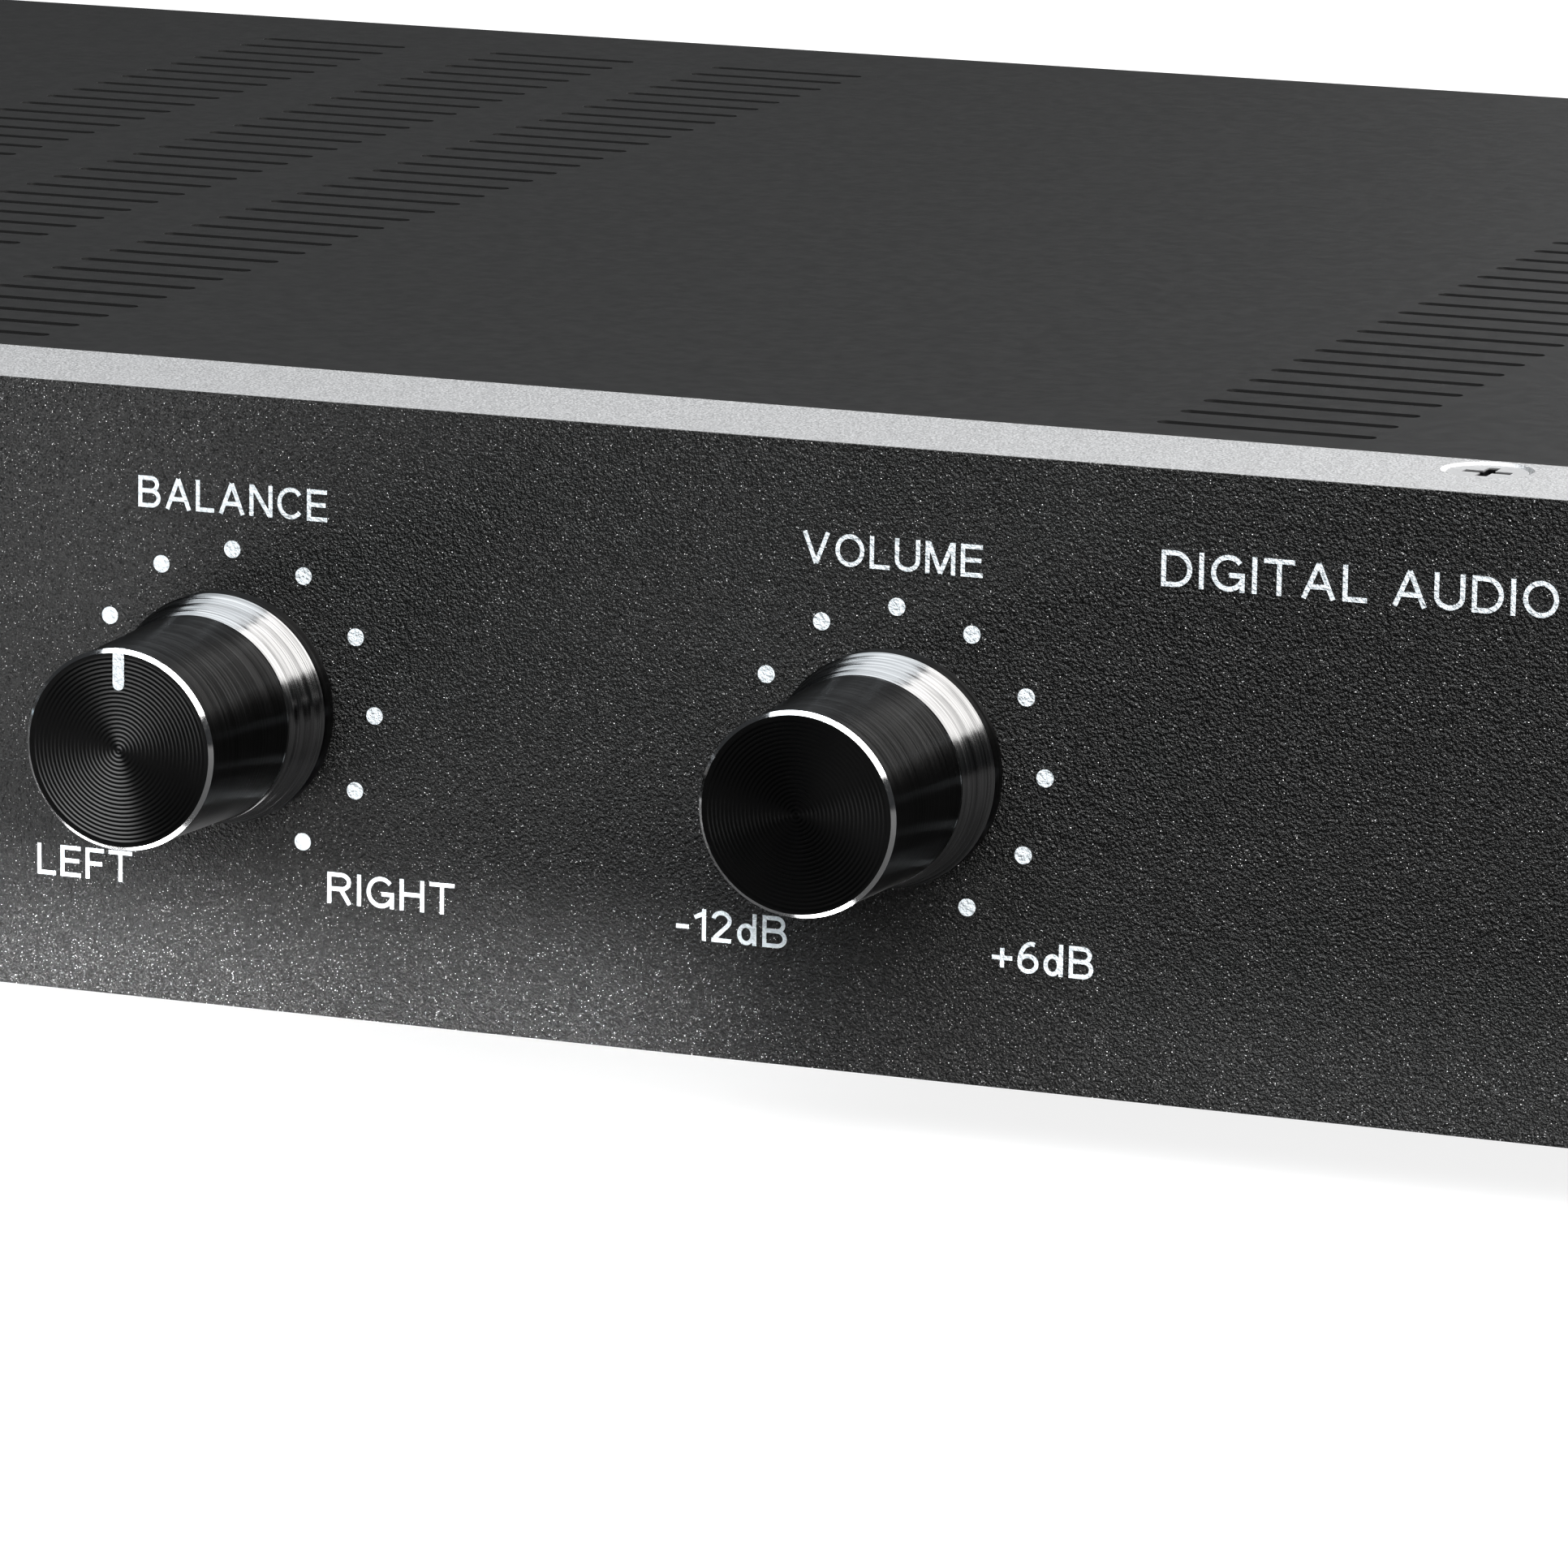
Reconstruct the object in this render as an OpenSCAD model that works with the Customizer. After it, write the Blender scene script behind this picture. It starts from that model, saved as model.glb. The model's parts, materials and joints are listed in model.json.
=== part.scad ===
// Desktop digital-to-analogue converter in a half-width metal case.
// Millimetres. X runs to the right, Y from front to rear and Z up.
// The origin is on the surface that the feet stand on, under the middle of the overall box.

/* [Case] */
// Width of the front panel
panel_w = 230; // [226:1:250]
// Height of the front panel
panel_h = 44; // [44:0.5:50]
// Depth from the front face to the rear edge of the cover
case_d = 200; // [196:1:230]
// Front-to-rear depth of the front panel's bright rim
rim_d = 13; // [12.8:0.1:14]
// Height of the feet
foot_h = 5; // [4:0.5:8]
// Sheet thickness of the cover
cover_t = 1.2; // [1:0.1:1.4]

/* [Vents] */
// Distance between neighbouring vent slots, front to rear
vent_pitch = 5; // [4:0.5:6]
// Width of one vent slot, front to rear
vent_w = 1.3; // [0.8:0.1:2]
// Slots in each column
vent_rows = 34; // [10:1:34]
// Distance from the front face to the first slot
vent_start = 19.4; // [18:0.1:24]

/* [Knobs] */
// Distance that the knobs stand out from the front face
knob_reach = 18.5; // [17:0.5:22]
// Radius of the knob's turned face, inside its bright edge
knob_face_r = 6.8; // [6.5:0.1:7]
// Radius of the knob's flared foot
knob_foot_r = 8.2; // [8:0.1:9]
// Distance between neighbouring rings turned into the knob's face
knob_ring_pitch = 0.3; // [0.25:0.05:0.6]
// Balance knob's axis, from the middle of the panel
balance_x = 7; // [4:1:8]
// Volume knob's axis, from the middle of the panel
volume_x = 57; // [55:1:60]

/* [Front controls] */
// Power button's axis, from the middle of the panel
power_x = -82; // [-83:1:-80]
// Input button's axis, from the middle of the panel
input_x = -58; // [-59:1:-56]
// Headphone socket's axis, from the middle of the panel
phones_x = -30; // [-32:1:-28]
// Travel of the two push buttons
button_travel = 1.5; // [1:0.1:1.8]

/* [Rear panel] */
// Distance that the phono sockets stand out from the rear panel
jack_reach = 9; // [8.5:0.1:10]
// Mains inlet's middle, from the middle of the panel
inlet_x = -82; // [-83:1:-80]
// Mains switch's middle, from the middle of the panel
rocker_x = -46; // [-47:1:-44]
// Angle that the mains switch rocks through
rocker_swing = 24; // [16:1:24]

/* [Hidden] */
$fn = 96;

// Heights and depths of the case
fascia_t = 0.3;
plate_t = 4;
rim_t = 2.5;
rear_inset = 0.5;
rear_t = 1.5;
tray_t = 1.5;
seam = 0.3;
case_l = knob_reach + case_d - rear_inset + jack_reach;
front_y = knob_reach - case_l / 2;
plate_y = front_y + fascia_t;
inner_y = plate_y + plate_t;
rim_y = front_y + rim_d;
cover_y = rim_y + seam;
cover_end_y = front_y + case_d;
rear_y = cover_end_y - rear_inset;
low_z = foot_h;
top_z = foot_h + panel_h;
axis_z = foot_h + panel_h / 2;
cover_z = top_z - 0.2;
cover_x = panel_w / 2 - 2;
cover_bend = 2;
tray_x = cover_x - cover_t - seam;
tray_flange_h = 12;
rear_flange_h = 8.8;
side_screw_z = low_z + 8;

// Fasteners
m3_r = 1.5;
m3_clear_r = 1.7;
sink_r = 3.2;
panel_screw_x = panel_w / 2 - 19.1;
panel_screw_y = front_y + 9.4;
bracket_w = 12;
bracket_hole_y = 14;
bracket_top = low_z + rim_t + 2.1;
side_screw_ys = [cover_y + 20, cover_y + 93, cover_end_y - 20];
rear_screw_xs = [-tray_x + 10, -15, tray_x - 10];
foot_r = 7.5;
foot_edge = 1;
foot_floor = 1.5;
foot_recess_r = 3.2;
foot_xs = [-92, 92];
foot_ys = [front_y + 36, cover_end_y - 25];

// Potentiometers
pot_w = 17;
pot_d = 10;
bushing_r = 3.5;
shaft_r = 3;
shaft_play = 0.05;
knob_gap = 0.6;
knob_recess = 4.2;
set_screw_out = 9.5;
set_screw_l = 4.4;
shaft_out = 13.5;
bore_depth = 13.5;
flat_z = 2.2;
wiper_y = inner_y + 4.2;
wiper_t = 1.2;
wiper_r = 6;
pin_r = 0.4;
nut_t = 2;
washer_t = 0.5;

// Push buttons, indicators and headphone socket
power_cap_r = 4.75;
input_cap_r = 3.25;
cap_play = 0.3;
lens_r = 1;
sleeve_r = 4.5;
phones_depth = 27;
phones_bore_r = 3.2;
phones_half = 7.5;
stem_r = 1.5;

// Boards
board_t = 1.6;
board_z = low_z + 8;
deck_z = board_z + board_t;
front_board_y = inner_y + pot_d + 1.5;
main_board_box = [-4, 106, front_y + 33, rear_y - 5];
power_board_box = [-106, -8, front_y + 55, rear_y - 20];

// Rear sockets
socket_z = deck_z + 6.4;
usb_x = 12;
optical_x = 30;
coax_x = 48;
right_x = 70;
left_x = 92;
barrel_r = 4.15;
barrel_bore_r = 3.2;
barrel_neck_r = 3.7;
collar_r = 6.2;
collar_t = 1.4;
phono_pin_r = 1.65;
inlet_hole_x = 20;

steel = [0.16, 0.16, 0.165];
bright = [0.78, 0.78, 0.79];
plastic = [0.05, 0.05, 0.055];
board_green = [0.05, 0.22, 0.12];

// ---- shared shapes ----

// A cylinder that runs from y0 to y1
module rod_y(r, y0, y1) {
    translate([0, y0, 0]) rotate([-90, 0, 0]) cylinder(r = r, h = y1 - y0);
}

// A block between two corners
module block(a, b) {
    translate(a) cube(b - a);
}

// A block from y0 to y1, with half its width and half its height as half.x and half.z
module slab(half, y0, y1) {
    block([-half.x, y0, -half.z], [half.x, y1, half.z]);
}

// A rectangle in the plane z = 0 with its two upper corners rounded
module arch(half_w, y0, y1, r) {
    translate([-half_w, y0]) square([2 * half_w, y1 - y0 - r]);
    translate([r - half_w, y0]) square([2 * (half_w - r), y1 - y0]);
    for (s = [-1, 1]) translate([s * (half_w - r), y1 - r]) circle(r = r);
}

// A flat slot with round ends, along X
module stadium(length, width, h) {
    straight = length - width;
    translate([-straight / 2, -width / 2, 0]) cube([straight, width, h]);
    for (s = [-1, 1]) translate([s * straight / 2, 0, 0]) cylinder(d = width, h = h, $fn = 32);
}

// A cross recess cut down into a screw head
module cross_recess(r, depth) {
    for (turn = [0, 90]) rotate([0, 0, turn]) {
        translate([-r, -r / 4, -depth]) cube([2 * r, r / 2, depth + 0.1]);
    }
}

// Countersunk M3 screw, head upward, with its top at z = 0
module flat_head_screw(length) {
    head_r = 2.8;
    land = 0.2;
    difference() {
        rotate_extrude() polygon([
            [0, 0], [head_r, 0], [head_r, -land], [m3_r, -land - head_r + m3_r],
            [m3_r, -length], [0, -length]
        ]);
        cross_recess(1.7, 1.1);
    }
}

// Pan-head M3 screw, head upward, with the underside of its head at z = 0
module pan_head_screw(length) {
    head_r = 2.75;
    head_h = 1.5;
    crown = 0.5;
    difference() {
        rotate_extrude() polygon([
            [0, head_h], [head_r - crown, head_h], [head_r, head_h - crown], [head_r, 0],
            [m3_r, 0], [m3_r, -length], [0, -length]
        ]);
        translate([0, 0, head_h]) cross_recess(1.6, 1);
    }
}

// Countersink of a clearance hole, cut downward from z = 0
module countersink() {
    depth = sink_r - m3_clear_r;
    translate([0, 0, -depth]) cylinder(r1 = m3_clear_r, r2 = sink_r, h = depth);
}

module at_panel_screws() {
    for (s = [-1, 1]) translate([s * panel_screw_x, panel_screw_y, 0]) children();
}

module at_feet() {
    for (x = foot_xs, y = foot_ys) translate([x, y, 0]) children();
}

// The side screws, each with +Z of its children pointing out of the case
module at_side_screws() {
    for (s = [-1, 1], y = side_screw_ys)
        translate([s * cover_x, y, side_screw_z]) rotate([0, s * 90, 0]) children();
}

module at_rear_screws() {
    for (x = rear_screw_xs) translate([x, rear_y, low_z + 5]) rotate([-90, 0, 0]) children();
}

// Screws and pillars of both boards, at their corners
module at_board_holes() {
    inset = 5;
    for (box = [main_board_box, power_board_box])
        for (x = [box[0] + inset, box[1] - inset], y = [box[2] + inset, box[3] - inset])
            translate([x, y, 0]) children();
}

// ---- casing ----

// A hole through the fascia and the plate behind it
module front_hole(r) {
    rod_y(r, front_y - 1, inner_y + 1);
}

// Every hole through the front, grown by extra all round
module front_holes(extra) {
    translate([0, 0, axis_z]) {
        for (x = [balance_x, volume_x]) translate([x, 0, 0]) front_hole(bushing_r + extra);
        translate([power_x, 0, 0]) front_hole(power_cap_r + cap_play + extra);
        translate([input_x, 0, 0]) front_hole(input_cap_r + cap_play + extra);
        translate([phones_x, 0, 0]) front_hole(sleeve_r + extra);
        at_lenses() front_hole(lens_r + extra);
    }
}

// Five indicator positions: one beside the power button, three beside the input button
module at_lenses() {
    translate([power_x + 11, 0, 0]) children();
    for (k = [0:2]) translate([input_x + 9, 0, 6 - 6 * k]) children();
}

module front_panel() color(bright) difference() {
    block([-panel_w / 2, plate_y, low_z], [panel_w / 2, rim_y, top_z]);
    block([rim_t - panel_w / 2, inner_y, low_z + rim_t], [panel_w / 2 - rim_t, rim_y + 1, top_z - rim_t]);
    front_holes(0.1);
    at_panel_screws() {
        translate([0, 0, top_z]) countersink();
        translate([0, 0, low_z]) rotate([180, 0, 0]) countersink();
        translate([0, 0, low_z - 1]) cylinder(r = m3_clear_r, h = rim_t + 2);
        translate([0, 0, top_z - rim_t - 1]) cylinder(r = m3_clear_r, h = rim_t + 2);
    }
}

module front_fascia() color([0.045, 0.045, 0.05]) difference() {
    block([-panel_w / 2, front_y, low_z], [panel_w / 2, plate_y, top_z]);
    front_holes(0.1);
}

// Four columns of vent slots: their middles, and the length of the slots in each
vent_columns = [[-68.6, 14.2], [-46, 14.2], [-24, 14.4], [76.8, 16]];

module vents() {
    for (column = vent_columns, row = [0:vent_rows - 1])
        translate([column[0], front_y + vent_start + row * vent_pitch, cover_z - cover_t - 1])
            stadium(column[1], vent_w, cover_t + 2);
}

module top_cover() color(steel) difference() {
    translate([0, cover_end_y, 0]) rotate([90, 0, 0]) linear_extrude(cover_end_y - cover_y) difference() {
        arch(cover_x, low_z + 0.5, cover_z, cover_bend);
        arch(cover_x - cover_t, low_z, cover_z - cover_t, cover_bend - cover_t);
    }
    vents();
    at_side_screws() translate([0, 0, -3]) cylinder(r = m3_clear_r, h = 4);
}

// Tray: a floor with a flange turned up along each side and along the rear edge
module base_tray() color([0.2, 0.2, 0.205]) difference() {
    union() {
        block([-tray_x, cover_y, low_z], [tray_x, rear_y - rear_t, low_z + tray_t]);
        for (s = [-1, 1])
            translate([s * (tray_x - tray_t / 2) - tray_t / 2, cover_y, low_z])
                cube([tray_t, rear_y - rear_t - cover_y, tray_flange_h]);
        block([-tray_x, rear_y - rear_t - tray_t, low_z], [tray_x, rear_y - rear_t, low_z + rear_flange_h]);
    }
    at_side_screws() translate([0, 0, -5]) cylinder(r = m3_r, h = 6);
    at_rear_screws() translate([0, 0, -6]) cylinder(r = m3_r, h = 7);
    at_feet() translate([0, 0, low_z - 1]) cylinder(r = m3_r, h = 4);
    at_panel_screws() translate([0, bracket_hole_y, low_z - 1]) cylinder(r = m3_r, h = 4);
}

module rear_panel() color(steel) difference() {
    block([-tray_x, rear_y - rear_t, low_z + 0.5], [tray_x, rear_y, cover_z - cover_t - 0.2]);
    at_rear_screws() translate([0, 0, -3]) cylinder(r = m3_clear_r, h = 4);
    translate([inlet_x, rear_y, axis_z]) {
        slab([14.2, 0, 10.7], -3, 1);
        for (s = [-1, 1]) translate([inlet_hole_x * s, 0, 0]) rod_y(m3_clear_r, -3, 1);
    }
    translate([rocker_x, rear_y, axis_z]) slab([7.1, 0, 10.6], -3, 1);
    for (x = [left_x, right_x, coax_x]) translate([x, 0, socket_z]) rod_y(4.3, rear_y - 3, rear_y + 1);
    translate([optical_x, rear_y, socket_z]) slab([6.7, 0, 6.4], -3, 1);
    translate([usb_x, rear_y, socket_z]) slab([6.2, 0, 5.7], -3, 1);
}

// Two angle brackets that tie the front panel's rim to the tray
module panel_brackets() color("silver") at_panel_screws() difference() {
    union() {
        block([-bracket_w / 2, -4.8, low_z + rim_t + 0.1], [bracket_w / 2, 3, top_z - rim_t - 0.1]);
        block([-bracket_w / 2, 3, low_z + rim_t + 0.1], [bracket_w / 2, 20, bracket_top]);
        block([-bracket_w / 2, 4, low_z + tray_t], [bracket_w / 2, 20, low_z + rim_t + 0.1]);
    }
    for (z = [low_z + rim_t - 1, top_z - rim_t - 10]) translate([0, 0, z]) cylinder(r = m3_r, h = 11);
    translate([0, bracket_hole_y, low_z]) cylinder(r = m3_clear_r, h = 6);
}

// Tapered rubber feet, each with a recess for its screw
module rubber_feet() color([0.04, 0.04, 0.04]) at_feet() difference() {
    union() {
        cylinder(r1 = foot_r - 1.1, r2 = foot_r - 0.6, h = foot_edge);
        translate([0, 0, foot_edge]) cylinder(r1 = foot_r - 0.6, r2 = foot_r, h = foot_h - foot_edge);
    }
    translate([0, 0, -1]) cylinder(r = foot_recess_r, h = foot_h - foot_floor + 1);
    cylinder(r = m3_clear_r, h = foot_h + 1);
}

module foot_screws() color("silver") at_feet()
    translate([0, 0, foot_h - foot_floor]) rotate([180, 0, 0]) pan_head_screw(5);

module cover_screws() color([0.1, 0.1, 0.1]) at_side_screws() pan_head_screw(5);

module rear_screws() color([0.1, 0.1, 0.1]) at_rear_screws() pan_head_screw(5);

module bracket_screws() color("silver") at_panel_screws()
    translate([0, bracket_hole_y, bracket_top]) pan_head_screw(5.5);

module panel_screws() color(bright) at_panel_screws() {
    translate([0, 0, top_z - 0.15]) flat_head_screw(10);
    translate([0, 0, low_z + 0.15]) rotate([180, 0, 0]) flat_head_screw(10);
}

// ---- knobs and potentiometers ----

// Fine grooves turned into a knob's face, from the edge to the middle
function ring_points(top) = [
    for (k = [floor((knob_face_r - 0.2) / knob_ring_pitch):-1:1]) each [
        [k * knob_ring_pitch, top],
        [(k - 0.5) * knob_ring_pitch, top - 0.05]
    ]
];

// Knob turned about its axis, with its rear face on the panel's side and a recess over the nut
module knob_body() {
    top = knob_reach - knob_gap;
    waist_r = knob_face_r + 0.55;
    neck_r = knob_face_r + 0.25;
    flare_z = 6;
    edge = 0.25;
    recess_r = 6.4;
    rotate([90, 0, 0]) rotate_extrude() polygon(concat(
        [
            [shaft_r + shaft_play, knob_recess], [recess_r, knob_recess], [recess_r, 0],
            [knob_foot_r - 0.15, 0], [knob_foot_r, 0.15], [knob_foot_r, 1.6],
            [waist_r + 0.35, flare_z - 2], [waist_r, flare_z],
            [neck_r, top - edge], [knob_face_r, top]
        ],
        ring_points(top),
        [[0, top], [0, bore_depth], [shaft_r + shaft_play, bore_depth]]
    ));
}

// A knob with its set-screw hole, its rear face knob_gap in front of the panel
module knob() color([0.03, 0.03, 0.032]) difference() {
    translate([0, front_y - knob_gap, 0]) knob_body();
    translate([0, front_y - set_screw_out, -12]) cylinder(r = m3_r, h = 12);
}

module balance_knob() color([0.03, 0.03, 0.032]) translate([balance_x, 0, axis_z]) difference() {
    knob();
    // Slot for the pointer's paint
    block([-0.42, front_y - knob_reach - 1, 4.5], [0.42, front_y - knob_reach + 0.25, 8]);
}

module volume_knob() translate([volume_x, 0, axis_z]) knob();

// Shaft with a flat for the set screw and the wiper disc that it carries
module pot_shaft() color("silver") {
    difference() {
        rod_y(shaft_r, front_y - shaft_out, inner_y + 7);
        block([-4, front_y - shaft_out - 1, -4], [4, front_y - 5, -flat_z]);
    }
    rod_y(wiper_r, wiper_y, wiper_y + wiper_t);
}
module balance_shaft() translate([balance_x, 0, axis_z]) pot_shaft();
module volume_shaft() translate([volume_x, 0, axis_z]) pot_shaft();

// Headless screw with a hexagon socket, below the shaft's flat
module set_screw() color([0.12, 0.12, 0.12])
    translate([0, front_y - set_screw_out, -flat_z - set_screw_l]) difference() {
        cylinder(r = m3_r, h = set_screw_l);
        translate([0, 0, -1]) cylinder(r = 0.87, h = 2.5, $fn = 6);
    }
module balance_set_screw() translate([balance_x, 0, axis_z]) set_screw();
module volume_set_screw() translate([volume_x, 0, axis_z]) set_screw();

// Housing with its threaded bushing, the cavity for the wiper disc and the pins to the board
module pot() color([0.35, 0.35, 0.36]) {
    difference() {
        union() {
            block([-pot_w / 2, inner_y, -pot_w / 2], [pot_w / 2, inner_y + pot_d, pot_w / 2]);
            rod_y(bushing_r, front_y - 3, inner_y);
        }
        rod_y(shaft_r + shaft_play, front_y - 4, inner_y + 7.5);
        rod_y(wiper_r + 0.5, wiper_y - 0.4, wiper_y + wiper_t + 0.4);
    }
    for (x = [-5, 0, 5], z = [-5, 5]) translate([x, 0, z]) rod_y(pin_r, inner_y + pot_d, front_board_y);
}
module balance_pot() translate([balance_x, 0, axis_z]) pot();
module volume_pot() translate([volume_x, 0, axis_z]) pot();

module at_pots() for (x = [balance_x, volume_x]) translate([x, 0, axis_z]) children();

module pot_washers() color("silver") at_pots() difference() {
    rod_y(5.8, front_y - washer_t, front_y);
    rod_y(bushing_r + 0.1, front_y - 1, front_y + 1);
}

module pot_nuts() color("silver") at_pots() difference() {
    translate([0, front_y - washer_t, 0]) rotate([90, 0, 0]) cylinder(d = 11, h = nut_t, $fn = 6);
    rod_y(bushing_r, front_y - 4, front_y);
}

// ---- push buttons, indicators and headphone socket ----

// Cap with its retaining shoulder behind the plate and the stem that enters the switch
module button(cap_r, stand_out) color([0.07, 0.07, 0.075]) {
    crown = 0.4;
    shoulder_t = 1;
    translate([0, inner_y + 0.1, 0]) rotate([90, 0, 0]) {
        cylinder(r = cap_r, h = plate_t + fascia_t + stand_out - crown + 0.1);
        translate([0, 0, plate_t + fascia_t + stand_out - crown + 0.1])
            cylinder(r1 = cap_r, r2 = cap_r - crown, h = crown);
    }
    rod_y(cap_r + 0.8, inner_y + 0.1, inner_y + 0.1 + shoulder_t);
    rod_y(stem_r, inner_y + 0.1 + shoulder_t, front_board_y - 3.2);
}
module power_button() translate([power_x, 0, axis_z]) button(power_cap_r, 2.5);
module input_button() translate([input_x, 0, axis_z]) button(input_cap_r, 1.8);

// Switch body on the front board, bored for the button's stem
module switch_body(w) color(plastic) difference() {
    block([-w / 2, front_board_y - 7, -w / 2], [w / 2, front_board_y, w / 2]);
    rod_y(stem_r + 0.06, front_board_y - 8, front_board_y - 3 + button_travel);
}
module power_switch() translate([power_x, 0, axis_z]) switch_body(9);
module input_switch() translate([input_x, 0, axis_z]) switch_body(6.5);

// Light guides between the panel and the board
module indicator_lenses() color([0.75, 0.85, 0.95]) translate([0, 0, axis_z]) at_lenses() {
    rod_y(1.05, front_y - 0.2, inner_y + 0.5);
    rod_y(1.6, inner_y + 0.5, front_board_y);
}

module headphone_socket() color(plastic) translate([phones_x, 0, axis_z]) difference() {
    union() {
        rod_y(sleeve_r, front_y - 2.6, inner_y);
        block([-phones_half, inner_y, -phones_half], [phones_half, front_y + phones_depth + 3, phones_half]);
    }
    rod_y(phones_bore_r, front_y - 3, front_y + phones_depth);
}

module headphone_nut() color(bright) translate([phones_x, front_y, axis_z]) difference() {
    rotate([90, 0, 0]) rotate_extrude()
        polygon([[sleeve_r, 0], [6.5, 0], [6.5, 1.6], [6, 2.1], [sleeve_r, 2.1]]);
    for (turn = [45, 135]) rotate([0, turn, 0]) block([-8, -3, -0.5], [8, -1.3, 0.5]);
}

// ---- boards ----

module board(box) difference() {
    block([box[0], box[2], board_z], [box[1], box[3], deck_z]);
    at_board_holes() translate([0, 0, board_z - 1]) cylinder(r = m3_clear_r, h = board_t + 2);
}
module main_board() color(board_green) board(main_board_box);
module power_board() color(board_green) board(power_board_box);

module front_board() color(board_green) difference() {
    block([-107, front_board_y, low_z + 5], [volume_x + 14, front_board_y + board_t, top_z - 5]);
    notch = phones_half + 0.5;
    translate([phones_x, front_board_y, axis_z]) slab([notch, 0, notch], -1, 3);
}

module board_standoffs() color("goldenrod") at_board_holes() difference() {
    translate([0, 0, low_z + tray_t]) cylinder(d = 5.5, h = board_z - low_z - tray_t, $fn = 6);
    translate([0, 0, low_z]) cylinder(r = m3_r, h = board_z);
}

module board_screws() color("silver") at_board_holes() {
    translate([0, 0, deck_z]) pan_head_screw(4.5);
}

ribbon_x = 30;
ribbon_w = 16;
ribbon_t = 0.9;
ribbon_z = low_z + 31;
ribbon_y = main_board_box[2] + 8;
ribbon_front_y = front_board_y + board_t + 5;
ribbon_bend_r = 3;

// Flat cable from the front board back and then down to the main board, with a round bend
module ribbon_cable() color([0.55, 0.56, 0.6]) translate([ribbon_x, 0, 0]) {
    half_w = ribbon_w / 2;
    bend_y = ribbon_y - ribbon_bend_r;
    bend_z = ribbon_z - ribbon_bend_r;
    block([-half_w, ribbon_front_y, ribbon_z - ribbon_t], [half_w, bend_y, ribbon_z]);
    intersection() {
        translate([0, bend_y, bend_z]) rotate([0, 90, 0]) difference() {
            cylinder(r = ribbon_bend_r, h = ribbon_w, center = true);
            cylinder(r = ribbon_bend_r - ribbon_t, h = ribbon_w + 1, center = true);
        }
        block([-half_w, bend_y, bend_z], [half_w, ribbon_y + 1, ribbon_z + 1]);
    }
    block([-half_w, ribbon_y - ribbon_t, deck_z + 6], [half_w, ribbon_y, bend_z]);
}

module ribbon_headers() color([0.1, 0.1, 0.11]) translate([ribbon_x, 0, 0]) {
    block([-9.5, front_board_y + board_t, ribbon_z - 3.5], [9.5, ribbon_front_y, ribbon_z + 2.5]);
    block([-9.5, ribbon_y - 3.5, deck_z], [9.5, ribbon_y + 2.5, deck_z + 6]);
}

// ---- power supply ----

core_x = -62;
core_y = 38;
core_w = 45;
core_d = 38;
core_h = 28;
window_w = 7;

// Laminated core with two windows that the winding passes through
module transformer_core() color([0.3, 0.3, 0.31]) translate([core_x, core_y, deck_z + 1]) difference() {
    block([-core_w / 2, -9, 0], [core_w / 2, 9, core_h]);
    for (s = [-1, 1]) block([s * 11.5 - window_w / 2, -10, 6], [s * 11.5 + window_w / 2, 10, core_h - 6]);
}

// Winding round the core's middle limb, closed in front and behind it
module transformer_winding() color([0.7, 0.55, 0.15]) translate([core_x, core_y, deck_z + 1]) difference() {
    block([-14.6, -16, 6.4], [14.6, 16, core_h - 6.4]);
    block([-8, -9, 6], [8, 9, core_h]);
}

module reservoir_capacitors() color([0.08, 0.09, 0.2]) for (x = [-94, -76], y = [2, 20])
    translate([x + 4, y - 14, deck_z]) rotate_extrude() polygon([
        [0, 0], [7.6, 0], [8, 0.4], [8, 2.2], [7.5, 2.8], [8, 3.4], [8, 24.4], [7.4, 25], [0, 25]
    ]);

sink_x = -36;
sink_w = 48;
sink_h = 24;
fin_t = 2;
fin_d = 12;
fin_count = 7;
module heat_sink() color([0.1, 0.1, 0.1]) translate([sink_x, 4, deck_z]) {
    fin_step = (sink_w - fin_t) / (fin_count - 1);
    block([-sink_w / 2, -2, 0], [sink_w / 2, 2, sink_h]);
    for (k = [0:fin_count - 1]) translate([k * fin_step - sink_w / 2, 2, 0]) cube([fin_t, fin_d, sink_h]);
}

// Three regulators clamped flat to the front of the heat sink
module regulators() color(plastic) for (x = [-14, 0, 14]) translate([sink_x + x, 0, deck_z]) {
    block([-5, -2.5, 6], [5, 2, 15]);
    block([-5, 0.7, 15], [5, 2, 21]);
    for (lead = [-2.5, 0, 2.5]) block([lead - 0.4, 0.2, 0], [lead + 0.4, 0.8, 6]);
}

module fuse_holder() color([0.85, 0.88, 0.9]) translate([-98, core_y, deck_z]) {
    block([-5, -11, 0], [5, 11, 5]);
    translate([0, 0, 8]) rod_y(2.6, -10, 10);
    for (y = [-9.5, 6.5]) block([-3.4, y, 5], [3.4, y + 3, 8]);
}

// ---- signal parts ----

module chip(x, y, w, d) translate([x, y, deck_z]) block([-w / 2, -d / 2, 0], [w / 2, d / 2, 1.6]);

module chip_packages() color(plastic) {
    chip(12, 60, 12, 12);
    chip(34, 56, 10, 10);
    chip(52, 34, 11, 8);
    for (x = [62, 84], y = [40, 62]) chip(x, y, 6, 5);
}

module clock_can() color(bright) translate([34, 32, deck_z])
    block([-6.5, -6.5, 0], [6.5, 6.5, 4.5]);

module film_capacitors() color([0.6, 0.12, 0.1]) for (x = [60, 74, 88], y = [4, 20])
    translate([x, y, deck_z]) block([-5, -3, 0], [5, 3, 9]);

module mute_relay() color([0.85, 0.86, 0.88]) for (x = [60, 84])
    translate([x, 78, deck_z]) block([-5, -8, 0], [5, 8, 8]);

// ---- rear panel fittings ----

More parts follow.
